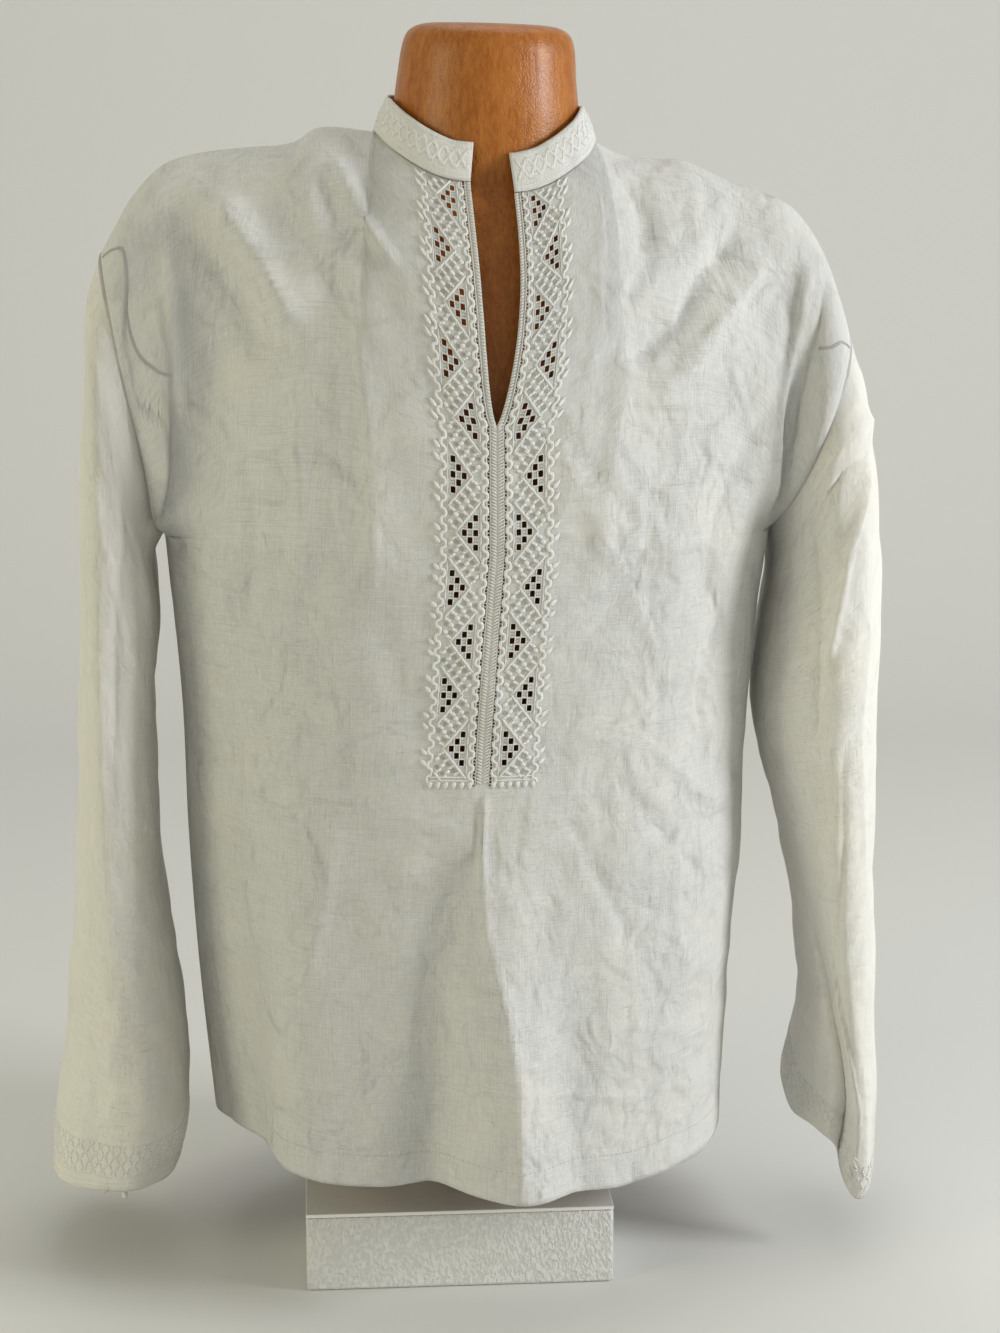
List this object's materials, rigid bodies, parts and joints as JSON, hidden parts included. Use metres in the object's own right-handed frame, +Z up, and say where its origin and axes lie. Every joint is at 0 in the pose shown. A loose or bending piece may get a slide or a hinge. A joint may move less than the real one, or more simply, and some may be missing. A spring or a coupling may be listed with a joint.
{
  "type": "embroidered folk shirt on a limbless dress form with a stand",
  "caption": "Long-sleeved whitework linen shirt with a stand collar and front slit, worn hollow on a limbless dress form on a post and square base.",
  "frame": {"origin": "middle of the underside of the stand's square base", "axes": "+Z up through the dress form's neck, +X to the viewer's right, the shirt's front towards -Y"},
  "size_m": [0.599, 0.3509, 0.859],
  "materials": {
    "white_linen": "matte plain-woven linen",
    "tan_leather": "soft sheen, fine grain",
    "polished_steel": "polished",
    "pebbled_leatherette": "pebbled, dull"
  },
  "bodies": {
    "root": {"shirt_front": "white_linen", "shirt_back": "white_linen", "collar": "white_linen", "sleeve_left": "white_linen", "sleeve_right": "white_linen", "cuff_tie_left": "white_linen", "dress_form": "tan_leather", "stand_post": "polished_steel", "base_plate": "polished_steel", "base_block": "pebbled_leatherette"}
  },
  "joints": []
}
